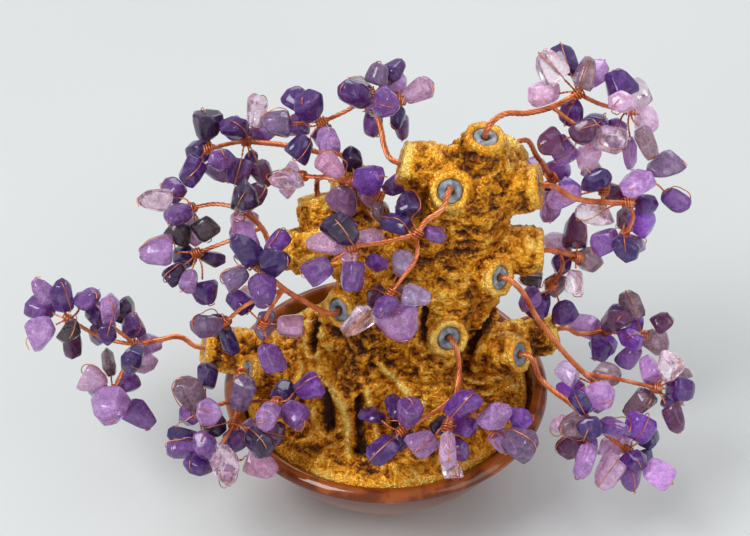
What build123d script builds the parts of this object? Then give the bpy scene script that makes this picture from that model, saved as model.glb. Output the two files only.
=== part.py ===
from build123d import *
from math import ceil, cos, pi, radians, sin, sqrt
from itertools import combinations
import os

# A gemstone tree in a glazed bowl: a gold resin casting of a gnarled trunk with sixteen hollow stubs,
# a putty plug in each stub, and a twisted copper spray of drilled amethyst chips standing in each plug.
# Millimetres. The middle of the bowl's foot is the origin, +Z is up and -Y is the front.

# The bowl
rim_diameter = 100.0
pot_height = 36.0
foot_diameter = 46.0
foot_height = 2.5
belly_diameter = 87.0
belly_height = 24.0
neck_diameter = 93.0
lip_height = 3.6
lip_width = 4.6
cavity_floor_diameter = 36.0
floor_thickness = 5.0

# The filling and the ground of the casting
bed_top_height = 24.0
bed_diameter = 79.0
bed_clearance = 0.3
ground_drop = 3.4
ground_rise = 2.2
ground_clearance = 0.3

# The trunk
trunk_height = 86.0
root_spread = 62.0
root_depth = 50.0

# The stubs and their sockets
stub_radius = 5.6
collar_width = 0.5
collar_height = 1.8
bore_radius = 3.5
bore_depth = 7.0
putty_clearance = 0.1
putty_drop = 0.8

# The copper
stem_radius = 1.15
branch_radius = 0.95
twig_radius = 0.4
knot_radius = 1.75
twist_radius = 1.6
twig_start_gap = 0.1
twig_end_radius = 0.72
bend_share = 1.1
cover_share = 1.08
same_place = 0.01
straight_exit = 2.2
pivot_clearance = 0.3
pivot_depth = 1.6
recess_flare = 0.9
root_wire_length = 3.2
root_wire_clearance = 0.1

# The stones
stone_length = 8.6
stone_width = 7.2
hole_clearance = 0.15
tip_gap = 0.2
stone_gap = 0.1
spray_gap = 1.3
bare_twig = 1.0
bowl_gap = 1.0
reach_step = 0.8
reach_tries = 10
ball_step = 1.0
ball_inset_share = 0.7
search_distance = 30.0
back_count = 2
back_tries = 12
back_lean_share = 0.6
back_size_share = 0.9
golden_turn = 2.4
seam_steps = 16
least_cross = 0.1

# The view that the sprays were laid out in: pixels of the photograph, and the tree's real spread across it
tree_spread = 196.0
tree_depth = 100.0
tree_spread_pixels = 668
focal_pixels = 1705
frame_middle_pixels = (375, 268)
aim_side_share = -0.017
aim_rise_share = 0.2245
view_angle = 40

seated = (Align.CENTER, Align.CENTER, Align.MIN)
rim_radius = rim_diameter / 2
mouth_radius = rim_radius - lip_width
recess_radius = stem_radius * bend_share + pivot_clearance
view_distance = focal_pixels * tree_spread / tree_spread_pixels
aim = Vector(aim_side_share * tree_spread, 0, pot_height + aim_rise_share * tree_spread)
look = Vector(0, cos(radians(view_angle)), -sin(radians(view_angle)))
rise = Vector(0, sin(radians(view_angle)), cos(radians(view_angle)))
eye = aim - look * view_distance

# Each section of the trunk, from the ground up: height, middle across, middle back, half width, half depth,
# depth of the furrows, and turn of the roots. Heights are shares of trunk_height, the rest of root_spread
# or root_depth, and the last two are shares of the section's own radius and of a full turn.
trunk_section_shares = [
    (-0.07, 0.00, -0.06, 0.54, 0.46, 0.17, 0.00),
    (0.00, 0.00, -0.06, 0.52, 0.44, 0.18, 0.00),
    (0.07, 0.02, -0.05, 0.47, 0.40, 0.20, 0.00),
    (0.17, 0.05, -0.03, 0.41, 0.34, 0.19, 0.01),
    (0.32, 0.10, -0.02, 0.37, 0.29, 0.14, 0.02),
    (0.50, 0.17, 0.00, 0.34, 0.25, 0.09, 0.04),
    (0.68, 0.28, 0.00, 0.25, 0.22, 0.07, 0.06),
    (0.86, 0.36, 0.00, 0.23, 0.21, 0.06, 0.08),
    (0.96, 0.39, 0.00, 0.18, 0.17, 0.05, 0.10),
    (1.00, 0.40, 0.00, 0.10, 0.10, 0.04, 0.11),
]
root_count = 6
outline_count = 24
stub_sides = 8

# The socket mouths: pixel across, pixel down, and share of tree_depth behind the bowl's middle.
mouth_pixels_and_shares = {
    "crown_left": (400, 162, 0.01),
    "crown_top": (486, 135, -0.03),
    "crown_front": (450, 191, -0.10),
    "crown_right": (541, 186, -0.03),
    "crown_back": (516, 146, 0.12),
    "right_high": (543, 250, -0.01),
    "right_front": (502, 278, -0.12),
    "right_back": (556, 330, 0.07),
    "right_low": (522, 355, -0.15),
    "front_low": (450, 339, -0.19),
    "limb_top": (318, 195, 0.09),
    "limb_end": (283, 250, -0.01),
    "limb_back": (345, 165, 0.17),
    "left_front": (337, 311, -0.19),
    "far_left": (203, 347, -0.03),
    "left_low": (245, 372, -0.13),
}

# Where each stub springs inside the trunk or its limb: shares of root_spread across, of root_depth back and
# of trunk_height up, and the width of its foot as a share of stub_radius, then its mouth's the same way.
stub_foot_shares = {
    "crown_left": (0.33, 0.00, 0.90, 1.25, 1.08),
    "crown_top": (0.40, 0.00, 0.86, 1.25, 1.00),
    "crown_front": (0.30, 0.02, 0.82, 1.10, 0.95),
    "crown_right": (0.40, 0.00, 0.84, 1.15, 1.12),
    "crown_back": (0.42, 0.04, 0.84, 1.10, 0.92),
    "right_high": (0.34, 0.00, 0.60, 1.20, 1.12),
    "right_front": (0.30, 0.00, 0.50, 1.15, 0.98),
    "right_back": (0.20, 0.00, 0.05, 1.30, 0.98),
    "right_low": (0.28, 0.00, 0.12, 1.15, 0.92),
    "front_low": (0.18, 0.00, 0.28, 1.20, 1.00),
    "limb_top": (-0.28, 0.02, 0.59, 1.15, 1.05),
    "limb_end": (-0.24, 0.00, 0.60, 1.20, 1.00),
    "limb_back": (-0.14, 0.00, 0.61, 1.10, 0.92),
    "left_front": (-0.04, -0.08, 0.46, 1.15, 0.92),
    "far_left": (-0.30, 0.04, 0.06, 1.25, 1.00),
    "left_low": (-0.32, -0.10, 0.02, 1.15, 0.92),
}

# The heavy limb that carries three stubs: both ends in the same shares, and its radii as shares of stub_radius.
limb_end_shares = [(0.20, 0.00, 0.56, 1.75), (-0.32, 0.00, 0.60, 1.25)]


# The copper of each spray, as runs of pixel across, pixel down and share of tree_depth. The first run starts in
# the socket. Each other run starts at the numbered point of the first. A run ends in a knot of twisted wire.
route_pixels_and_shares = {
    "crown_left": [
        (0, (385, 148, 0.05), (381, 129, 0.10), (371, 95, 0.19)),
        (3, (346, 111, 0.18), (322, 122, 0.16)),
        (3, (400, 100, 0.22)),
    ],
    "crown_top": [
        (0, (500, 116, -0.01), (528, 113, 0.03), (552, 107, 0.06), (578, 94, 0.09)),
        (3, (572, 122, 0.04), (590, 133, 0.02)),
        (4, (606, 106, 0.09), (630, 110, 0.08)),
    ],
    "crown_front": [
        (0, (440, 211, -0.15), (426, 221, -0.17), (417, 234, -0.19)),
        (3, (384, 242, -0.21), (352, 247, -0.23)),
        (3, (416, 258, -0.22), (402, 278, -0.25), (391, 293, -0.27)),
    ],
    "crown_right": [
        (0, (574, 198, -0.03), (602, 202, -0.03), (628, 203, -0.03)),
        (2, (604, 190, -0.02)),
        (3, (640, 192, -0.02), (646, 178, -0.01)),
        (3, (633, 217, -0.04), (624, 236, -0.05)),
    ],
    "crown_back": [
        (0, (538, 158, 0.18), (552, 178, 0.19)),
    ],
    "right_high": [
        (0, (560, 252, 0.01), (577, 257, 0.03)),
        (1, (562, 268, 0.04), (552, 284, 0.06)),
    ],
    "right_front": [
        (0, (540, 322, -0.16), (567, 356, -0.19), (584, 373, -0.20), (600, 386, -0.20)),
        (3, (622, 380, -0.18), (656, 388, -0.17)),
    ],
    "right_back": [
        (0, (580, 334, 0.11), (606, 331, 0.13)),
        (2, (624, 334, 0.13), (643, 336, 0.12)),
    ],
    "right_low": [
        (0, (541, 379, -0.20), (572, 405, -0.26), (593, 424, -0.30)),
        (3, (610, 438, -0.31), (627, 450, -0.33)),
    ],
    "front_low": [
        (0, (459, 366, -0.25), (456, 396, -0.33), (447, 426, -0.41)),
        (2, (474, 414, -0.37), (490, 430, -0.40)),
        (2, (428, 416, -0.38), (402, 431, -0.42)),
    ],
    "limb_top": [
        (0, (322, 177, 0.06), (340, 180, 0.02), (355, 182, 0.00)),
        (3, (368, 190, -0.01), (379, 196, -0.02)),
        (1, (302, 176, 0.09)),
    ],
    "limb_end": [
        (0, (262, 228, 0.02), (242, 209, 0.04)),
        (2, (216, 204, 0.07), (191, 208, 0.09)),
        (1, (226, 242, 0.02), (197, 253, 0.01)),
    ],
    "limb_back": [
        (0, (318, 152, 0.22), (290, 146, 0.24), (246, 141, 0.26)),
        (3, (228, 144, 0.26), (209, 149, 0.25)),
    ],
    "left_front": [
        (0, (302, 300, -0.21), (284, 289, -0.22), (258, 266, -0.22)),
        (2, (272, 306, -0.24), (263, 324, -0.25)),
        (2, (248, 304, -0.22), (225, 322, -0.22)),
    ],
    "far_left": [
        (0, (180, 337, -0.02), (159, 340, -0.03), (136, 345, -0.04)),
        (3, (122, 334, -0.03), (110, 325, -0.02)),
        (3, (104, 338, -0.01), (68, 319, 0.00)),
        (3, (124, 368, -0.09), (114, 391, -0.13)),
    ],
    "left_low": [
        (0, (247, 388, -0.20), (242, 402, -0.27), (234, 423, -0.35)),
        (2, (262, 401, -0.30), (277, 402, -0.33)),
        (2, (221, 404, -0.29), (200, 414, -0.32)),
        (3, (225, 439, -0.38), (215, 453, -0.41)),
    ],
}

# The stones at each knot, in the order of the runs: pixel across, pixel down, and size as a share of the usual.
stone_pixels_and_shares = {
    "crown_left": [
        [(353, 93, 1.05), (334, 86, 0.90), (346, 113, 0.90), (373, 125, 0.90), (387, 104, 1.00), (378, 74, 0.80)],
        [(310, 107, 1.15), (301, 148, 0.95), (293, 127, 0.90), (275, 123, 0.90), (328, 141, 0.85)],
        [(393, 84, 1.10), (419, 91, 1.00), (397, 118, 0.75)],
    ],
    "crown_top": [
        [(551, 66, 1.00), (586, 72, 1.10), (545, 93, 1.00), (531, 111, 0.90), (572, 112, 0.85)],
        [(549, 144, 0.95), (584, 131, 1.05), (564, 152, 0.85), (611, 140, 1.00)],
        [(619, 84, 1.05), (637, 91, 0.95), (623, 103, 0.90), (645, 117, 1.00), (647, 142, 1.05)],
    ],
    "crown_front": [
        [(395, 225, 0.85)],
        [(342, 231, 1.25), (371, 237, 0.90), (324, 244, 1.05), (350, 258, 0.90), (318, 270, 1.00), (352, 276, 1.05)],
        [(402, 264, 1.00), (416, 297, 0.95), (384, 308, 0.85), (400, 324, 1.30), (358, 322, 1.10), (379, 347, 1.00)],
    ],
    "crown_right": [
        [(592, 213, 0.95)],
        [(596, 180, 0.95), (615, 170, 0.95)],
        [(635, 186, 0.95), (664, 166, 1.00), (653, 199, 1.05)],
        [(643, 221, 1.00), (625, 246, 1.00), (604, 242, 0.90)],
    ],
    "crown_back": [
        [(551, 207, 0.95), (571, 188, 0.90), (533, 190, 0.80), (560, 168, 0.80)],
    ],
    "right_high": [
        [(576, 229, 1.00), (588, 260, 1.10), (574, 282, 0.90), (560, 264, 0.80)],
        [(555, 286, 0.90), (531, 280, 0.95), (529, 301, 0.80)],
    ],
    "right_front": [
        [(607, 373, 1.00), (567, 373, 0.95), (600, 396, 1.10), (586, 402, 0.80)],
        [(650, 370, 1.10), (670, 368, 0.95), (681, 390, 1.00), (674, 419, 1.00), (639, 404, 1.10)],
    ],
    "right_back": [
        [(584, 326, 1.05), (615, 322, 1.00), (600, 350, 0.85)],
        [(631, 305, 1.00), (632, 338, 1.00), (654, 341, 1.00), (662, 322, 0.80)],
    ],
    "right_low": [
        [(579, 401, 0.85), (572, 427, 1.00), (590, 427, 0.90), (572, 445, 1.00), (584, 463, 1.00), (615, 429, 1.00)],
        [(639, 427, 1.05), (614, 445, 1.05), (636, 461, 0.80), (659, 473, 1.05), (610, 472, 1.05), (631, 477, 0.90)],
    ],
    "front_low": [
        [(464, 405, 1.15), (439, 425, 0.90), (464, 425, 0.95), (423, 444, 1.00), (448, 451, 1.00), (450, 464, 0.80)],
        [(496, 416, 1.05), (521, 418, 0.80), (521, 444, 1.10), (471, 451, 0.95), (500, 438, 0.90)],
        [(409, 414, 1.00), (402, 437, 0.90), (381, 451, 1.05)],
    ],
    "limb_top": [
        [(330, 164, 0.90), (352, 158, 0.95), (371, 178, 1.05), (344, 199, 0.95)],
        [(365, 193, 0.95), (385, 203, 0.90), (396, 186, 0.80)],
        [(285, 180, 1.00)],
    ],
    "limb_end": [
        [(244, 199, 1.15), (244, 238, 1.25), (287, 221, 0.90)],
        [(156, 201, 0.95), (177, 215, 0.95), (205, 229, 0.90), (179, 233, 0.85)],
        [(156, 252, 1.00), (175, 274, 0.90), (189, 280, 0.80), (205, 293, 0.95), (212, 258, 0.90)],
    ],
    "limb_back": [
        [(256, 111, 1.00), (236, 129, 0.95), (238, 172, 1.00), (263, 174, 0.95), (262, 132, 0.85)],
        [(207, 127, 1.05), (200, 152, 0.95), (220, 158, 1.05), (193, 170, 1.00), (189, 190, 0.85)],
    ],
    "left_front": [
        [(244, 248, 1.05), (277, 260, 1.10), (236, 278, 0.95), (263, 291, 1.10)],
        [(265, 327, 1.15), (290, 325, 1.00), (271, 358, 1.10)],
        [(206, 325, 1.05), (229, 340, 1.00)],
    ],
    "far_left": [
        [(133, 358, 1.00), (151, 344, 0.85)],
        [(110, 309, 1.00), (126, 309, 0.95), (108, 333, 0.90)],
        [(44, 291, 0.80), (63, 295, 1.00), (88, 299, 0.90), (41, 309, 0.95), (41, 331, 1.10), (69, 331, 0.90),
         (86, 348, 1.15)],
        [(94, 380, 0.95), (126, 384, 0.90), (110, 409, 1.15), (139, 415, 1.10)],
    ],
    "left_low": [
        [(243, 393, 1.05), (271, 431, 1.05), (257, 442, 1.05), (235, 440, 0.90)],
        [(273, 386, 1.05), (308, 386, 1.10), (294, 413, 0.95), (269, 415, 0.95)],
        [(190, 393, 1.05), (208, 376, 0.95), (206, 413, 0.90), (212, 429, 1.05)],
        [(184, 450, 1.00), (198, 464, 1.10), (204, 444, 0.90), (226, 466, 1.20), (261, 466, 1.10)],
    ],
}

# Eight kinds of tumbled chip: length along the hole, width and thickness as shares of the usual sizes, how full
# the chip is at its two ends, and its corners' distances from the hole.
chip_shares = [
    (1.08, 0.94, 0.84, 0.80, 0.52, (1.00, 0.84, 0.97, 0.88, 1.00, 0.80)),
    (0.86, 1.00, 0.90, 0.78, 0.72, (1.00, 0.90, 1.00, 0.82, 0.95, 1.00, 0.86)),
    (0.96, 1.04, 0.70, 0.66, 0.74, (0.94, 1.00, 0.86, 1.00, 0.90, 0.84)),
    (0.80, 0.92, 0.82, 0.82, 0.70, (1.00, 0.86, 0.98, 1.00, 0.82)),
    (0.98, 1.00, 0.84, 0.86, 0.48, (0.98, 1.00, 0.84, 0.92, 1.00, 0.88)),
    (1.18, 0.84, 0.74, 0.58, 0.50, (1.00, 0.82, 0.96, 1.00, 0.88)),
    (0.88, 0.98, 0.92, 0.70, 0.84, (0.92, 1.00, 0.86, 0.98, 0.88, 1.00, 0.84)),
    (1.04, 0.92, 0.88, 0.62, 0.80, (1.00, 0.92, 0.82, 1.00, 0.86, 0.96)),
]
chip_belly_shares = (-0.30, 0.26)
end_share = 0.5


def sight(pixel_and_share):
    """Return the point that a pixel shows on the upright plane at a share of the tree's depth."""
    across, down, back_share = pixel_and_share
    ray = sight_ray((across, down))
    return eye + ray * ((back_share * tree_depth - eye.Y) / ray.Y)


def sight_ray(pixel):
    """Return the line of sight through a pixel, one unit deep."""
    across = (pixel[0] - frame_middle_pixels[0]) / focal_pixels
    down = (pixel[1] - frame_middle_pixels[1]) / focal_pixels
    return look + Vector(across, 0, 0) - rise * down


def trunk_place(across_share, back_share, up_share):
    """Return a point of the trunk from its shares."""
    return Vector(across_share * root_spread, back_share * root_depth, pot_height + up_share * trunk_height)


def turned_outline(half_width, half_depth, furrow_share, turn_share):
    """Return the lobed outline of the trunk at one height."""
    points = []
    for step in range(outline_count):
        angle = 2 * pi * step / outline_count
        swell = 1 + furrow_share * cos(root_count * angle + 2 * pi * turn_share)
        points.append((half_width * swell * cos(angle), half_depth * swell * sin(angle)))
    return points


def mouth_frame(name):
    """Return a socket's plane: its origin in the middle of the mouth and its Z out along the stub."""
    mouth = sight(mouth_pixels_and_shares[name])
    foot = trunk_place(*stub_foot_shares[name][:3])
    return Plane(origin=mouth, z_dir=mouth - foot)


def pivot_of(name):
    """Return the point in the putty that a spray's wire bends about."""
    frame = mouth_frame(name)
    return frame.origin - frame.z_dir * (putty_drop + pivot_depth)


def wire_runs(name):
    """Return each run of a spray's wire as points, the first from its pivot straight out of the socket."""
    frame = mouth_frame(name)
    runs = []
    for run in route_pixels_and_shares[name]:
        points = [sight(place) for place in run[1:]]
        if not runs:
            runs.append([pivot_of(name), frame.origin + frame.z_dir * straight_exit] + points)
        else:
            runs.append([runs[0][run[0] + 1]] + points)
    return runs


def ways_from(run, number):
    """Return the directions from one point of a run to the points beside it."""
    beside = run[max(0, number - 1) : number] + run[number + 1 : number + 2]
    return [(point - run[number]).normalized() for point in beside]


def wire_joints(runs):
    """Return each bend, fork and end of a spray's wire: its middle, its ball's radius and its wires' directions."""
    joints = []
    for order, run in enumerate(runs):
        radius = branch_radius if order else stem_radius
        for number, middle in enumerate(run):
            ways = ways_from(run, number)
            if number == len(run) - 1:
                ball = knot_radius
            elif number == 0:
                ball = twist_radius if order else stem_radius * bend_share
            else:
                ball = radius * max(bend_share, cover_share / sin(radians(ways[0].get_angle(ways[1]) / 2)))
            shared = [joint for joint in joints if (joint[0] - middle).length < same_place]
            if shared:
                shared[0][1] = max(shared[0][1], ball)
                shared[0][2] += ways
            else:
                joints.append([middle, ball, ways])
    return joints


def seam_distance(frame, way):
    """Return how far a direction is from the seam of a ball in this frame, as a sine."""
    across, aside, up = way.dot(frame.x_dir), way.dot(frame.y_dir), way.dot(frame.z_dir)
    return abs(aside) if across > 0 else sqrt(max(0, 1 - up * up))


def clear_frame(middle, ways):
    """Return the plane of a ball that turns its seam and its poles away from the wires."""
    poles = [first.cross(second) for first, second in combinations(ways, 2)]
    poles += [Plane(origin=middle, z_dir=ways[0]).x_dir, Vector(0, 0, 1), Vector(1, 0, 0), Vector(0, 1, 0)]
    frames = []
    for pole in poles:
        if pole.length > least_cross:
            side = Plane(origin=middle, z_dir=pole)
            for step in range(seam_steps):
                turn = 2 * pi * step / seam_steps
                across = side.x_dir * cos(turn) + side.y_dir * sin(turn)
                frames.append(Plane(origin=middle, x_dir=across, z_dir=pole))
    return max(frames, key=lambda frame: min(seam_distance(frame, way) for way in ways))


def balls_along(start, end, radius):
    """Return balls strung from start to end, as plain numbers: three of place and one of radius."""
    count = max(1, ceil((end - start).length / ball_step))
    middles = [start + (end - start) * (step / count) for step in range(count + 1)]
    return [(middle.X, middle.Y, middle.Z, radius) for middle in middles]


def apart(balls, others, gap):
    """Tell whether two sets of balls keep a gap."""
    for x, y, z, radius in balls:
        for other_x, other_y, other_z, other_radius in others:
            reach = radius + other_radius + gap
            if (x - other_x) ** 2 + (y - other_y) ** 2 + (z - other_z) ** 2 < reach * reach:
                return False
    return True


def above_bowl(balls):
    """Tell whether balls keep clear of the bowl, the ground in it and what it stands on."""
    for x, y, z, radius in balls:
        if z - radius < stone_gap:
            return False
        if sqrt(x * x + y * y) - radius < rim_radius + bowl_gap and z - radius < pot_height + bowl_gap:
            return False
    return True


def near(balls, middle, distance):
    """Return the balls that lie within a distance of a point."""
    x, y, z = middle
    return [b for b in balls if (b[0] - x) ** 2 + (b[1] - y) ** 2 + (b[2] - z) ** 2 < distance * distance]


# Balls that stand for the casting: its stubs, its heavy limb and its trunk.
casting_balls = []
for name, share in stub_foot_shares.items():
    foot = trunk_place(*share[:3])
    widest = stub_radius * share[4] + collar_width
    casting_balls += balls_along(foot, mouth_frame(name).origin - mouth_frame(name).z_dir * widest / 2, widest)
casting_balls += balls_along(
    trunk_place(*limb_end_shares[0][:3]), trunk_place(*limb_end_shares[1][:3]), stub_radius * limb_end_shares[1][3]
)
for lower, upper in zip(trunk_section_shares, trunk_section_shares[1:]):
    casting_balls += balls_along(
        trunk_place(lower[1], lower[2], lower[0]), trunk_place(upper[1], upper[2], upper[0]), lower[4] * root_depth
    )

# Every spray's wire, and its knots, before any stone is placed.
spray_runs = {name: wire_runs(name) for name in stub_foot_shares}
wire_balls = {}
for name, runs in spray_runs.items():
    wire_balls[name] = []
    for run in runs:
        for start, end in zip(run, run[1:]):
            wire_balls[name] += balls_along(start, end, stem_radius)
    for middle, radius, ways in wire_joints(runs):
        if radius != knot_radius:
            wire_balls[name].append((middle.X, middle.Y, middle.Z, radius))


def place_stone(knot, toward, away, length, radius, own, others):
    """Return the stone's middle, stepping out along a set of candidate places until one is free."""
    for middle in candidates(knot, toward, away, length):
        direction = (middle - knot).normalized()
        half = max(length / 2 - ball_inset_share * radius, 0)
        stone_balls = balls_along(middle - direction * half, middle + direction * half, radius)
        start = knot + direction * (knot_radius + twig_start_gap + twig_radius)
        bare_balls = balls_along(start, middle - direction * length / 2, twig_radius)
        tip = middle + direction * (length / 2 + tip_gap + twig_end_radius)
        twig_balls = bare_balls + [(tip.X, tip.Y, tip.Z, twig_end_radius)]
        if not above_bowl(stone_balls):
            continue
        if not apart(stone_balls, own, stone_gap):
            continue
        if not apart(twig_balls, own, tip_gap):
            continue
        if apart(stone_balls, others, spray_gap) and apart(twig_balls, others, spray_gap):
            return middle, stone_balls + twig_balls
    return None


def candidates(knot, toward, away, length):
    """Return the places that a stone is tried at: on its line of sight, or out from the knot when it has none."""
    nearest = knot_radius + bare_twig + length / 2
    places = []
    for step in range(reach_tries):
        reach = nearest + step * reach_step
        if toward is None:
            places.append(knot + away * reach)
            continue
        ray = toward.normalized()
        foot = eye + ray * (knot - eye).dot(ray)
        miss = (foot - knot).length
        if miss >= reach:
            places.append(foot)
            continue
        depth = sqrt(reach * reach - miss * miss)
        places += [foot - ray * depth, foot + ray * depth]
    return places


# The stones of each spray: the ones that the photograph shows, then a few behind each knot.
spray_stones = {name: [] for name in stub_foot_shares}
placed = {name: list(balls) for name, balls in wire_balls.items()}
left_out = 0
for name, knots in stone_pixels_and_shares.items():
    for number, shown in enumerate(knots):
        knot = spray_runs[name][number][-1]
        asked = [(sight_ray(stone[:2]), None, stone[2]) for stone in shown]
        for back in range(back_tries):
            turn = golden_turn * (back + number)
            lean = back_lean_share * (1 + back % 3)
            away = (look + Vector(cos(turn), 0, 0) / lean + rise * sin(turn) / lean).normalized()
            asked.append((None, away, back_size_share))
        backs = 0
        for toward, away, size_share in asked:
            if toward is None and backs == back_count:
                break
            kind = (3 * len(spray_stones[name]) + number) % len(chip_shares)
            length = stone_length * chip_shares[kind][0] * size_share
            radius = stone_width * chip_shares[kind][1] * size_share / 2
            own = near(placed[name], knot, search_distance) + near(casting_balls, knot, search_distance)
            inside_knot = near(placed[name], knot, knot_radius - stem_radius / 2)
            own = [ball for ball in own if ball not in inside_knot]
            others = []
            for other in placed:
                if other != name:
                    others += near(placed[other], knot, search_distance)
            found = place_stone(knot, toward, away, length, radius, own, others)
            if found is None:
                if toward is not None:
                    left_out += 1
                continue
            if toward is None:
                backs += 1
            spray_stones[name].append((knot, found[0], kind, size_share))
            placed[name] += found[1]
print("stones", sum(len(stones) for stones in spray_stones.values()), "left out", left_out)

# The bowl: a glazed turned shell with a rolled lip and a flat foot.
with BuildPart() as pot:
    with BuildSketch(Plane.XZ):
        with BuildLine():
            lip_foot = (neck_diameter / 2, pot_height - lip_height)
            foot_top = (foot_diameter / 2, foot_height)
            belly = (belly_diameter / 2, belly_height)
            lip_middle = (rim_radius, pot_height - lip_height / 2)
            lip_crown = (rim_radius - lip_width / 2, pot_height)
            lip_inside = (mouth_radius, pot_height - lip_height / 2)
            Line((0, 0), (foot_diameter / 2, 0))
            Line((foot_diameter / 2, 0), foot_top)
            Spline(foot_top, belly, lip_foot)
            Spline(lip_foot, lip_middle, lip_crown, lip_inside)
            Line(lip_inside, (bed_diameter / 2, bed_top_height))
            Line((bed_diameter / 2, bed_top_height), (cavity_floor_diameter / 2, floor_thickness))
            Line((cavity_floor_diameter / 2, floor_thickness), (0, floor_thickness))
            Line((0, floor_thickness), (0, 0))
        make_face()
    revolve(axis=Axis.Z)
pot.part.label = "pot"

# The plaster that fills the bowl under the casting.
with BuildPart() as plaster_bed:
    with BuildSketch(Plane.XZ):
        with BuildLine():
            Polyline(
                (0, floor_thickness),
                (cavity_floor_diameter / 2 - bed_clearance, floor_thickness),
                (bed_diameter / 2 - bed_clearance, bed_top_height),
                (0, bed_top_height),
                close=True,
            )
        make_face()
    revolve(axis=Axis.Z)
plaster_bed.part.label = "plaster_bed"

# The stubs by themselves, each with a raised ring round its mouth.
with BuildPart() as stubs:
    for name, share in stub_foot_shares.items():
        frame = mouth_frame(name)
        foot_drop = (frame.origin - trunk_place(*share[:3])).length
        ring_radius = stub_radius * share[4]
        rings = (
            (foot_drop, stub_radius * share[3]),
            (collar_height + collar_width, ring_radius),
            (collar_height, ring_radius + collar_width),
            (0, ring_radius + collar_width),
        )
        for drop, radius in rings:
            with BuildSketch(frame.offset(-drop)):
                RegularPolygon(radius=radius, side_count=stub_sides)
        loft(ruled=True)

# The casting: ground, trunk, heavy limb and sixteen stubs in one piece, with a blind socket in each stub.
with BuildPart() as trunk_casting:
    with BuildSketch(Plane.XZ):
        with BuildLine():
            ground_foot = bed_diameter / 2 - ground_clearance
            ground_edge = pot_height - ground_drop
            wall_share = (ground_edge - bed_top_height) / (pot_height - lip_height / 2 - bed_top_height)
            ground_radius = ground_foot + (mouth_radius - bed_diameter / 2) * wall_share
            Line((0, bed_top_height), (ground_foot, bed_top_height))
            Line((ground_foot, bed_top_height), (ground_radius, ground_edge))
            Spline(
                (ground_radius, ground_edge),
                (root_spread / 2, pot_height),
                (0, pot_height + ground_rise),
                tangents=[(-1, 1), (-1, 0)],
            )
            Line((0, pot_height + ground_rise), (0, bed_top_height))
        make_face()
    revolve(axis=Axis.Z)
    for share in trunk_section_shares:
        middle = trunk_place(share[1], share[2], share[0])
        with BuildSketch(Plane(origin=middle)):
            with BuildLine():
                Polyline(
                    *turned_outline(share[3] * root_spread, share[4] * root_depth, share[5], share[6]), close=True
                )
            make_face()
    loft(ruled=True)
    limb_line = trunk_place(*limb_end_shares[1][:3]) - trunk_place(*limb_end_shares[0][:3])
    for share in limb_end_shares:
        with BuildSketch(Plane(origin=trunk_place(*share[:3]), z_dir=limb_line)):
            RegularPolygon(radius=stub_radius * share[3], side_count=stub_sides)
    loft(ruled=True)
    add(stubs.part)
    with Locations([mouth_frame(name).location for name in stub_foot_shares]):
        Cylinder(bore_radius, 2 * bore_depth, mode=Mode.SUBTRACT)
trunk_casting.part.label = "trunk_casting"

# The putty: one plug standing on the floor of each socket, with a flared recess for the wire to bend in and a
# narrow hole below it for the wire's buried end.
with BuildPart() as socket_putty:
    for name in stub_foot_shares:
        frame = mouth_frame(name)
        with Locations(frame.offset(-bore_depth).location):
            Cylinder(bore_radius - putty_clearance, bore_depth - putty_drop, align=seated)
        with Locations(frame.offset(-putty_drop - pivot_depth).location):
            Sphere(recess_radius, mode=Mode.SUBTRACT)
            Cone(
                recess_radius,
                recess_radius + recess_flare,
                pivot_depth,
                align=seated,
                mode=Mode.SUBTRACT,
            )
        with Locations(frame.offset(-bore_depth).location):
            Cylinder(
                stem_radius + root_wire_clearance,
                bore_depth - putty_drop - pivot_depth,
                align=seated,
                mode=Mode.SUBTRACT,
            )
socket_putty.part.label = "socket_putty"

# The buried end of each spray's wire, below the bend.
with BuildPart() as wire_roots:
    for name in stub_foot_shares:
        with Locations(mouth_frame(name).offset(-bore_depth).location):
            Cylinder(stem_radius, root_wire_length, align=seated)
wire_roots.part.label = "wire_roots"


# The eight chips at the usual size, undrilled, each with its hole's line along Z.
blank_chips = []
for length_share, width_share, thickness_share, low_share, high_share, corner_shares in chip_shares:
    layers = ((-end_share, low_share), (chip_belly_shares[0], 1), (chip_belly_shares[1], 1), (end_share, high_share))
    with BuildPart() as chip:
        for up_share, full_share in layers:
            with BuildSketch(Plane.XY.offset(up_share * stone_length * length_share)):
                with BuildLine():
                    corners = []
                    for number, corner_share in enumerate(corner_shares):
                        angle = 2 * pi * number / len(corner_shares)
                        reach = stone_width * corner_share * full_share / 2
                        corners.append((width_share * reach * cos(angle), thickness_share * reach * sin(angle)))
                    Polyline(*corners, close=True)
                make_face()
        loft(ruled=True)
    blank_chips.append(chip.part)


def drilled_chip(kind, size_share):
    """Return one chip of a kind and size with the hole for its wire."""
    with BuildPart() as chip:
        add(blank_chips[kind].scale(size_share))
        Cylinder(twig_radius + hole_clearance, 2 * stone_length * size_share, mode=Mode.SUBTRACT)
    return chip.part


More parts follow.
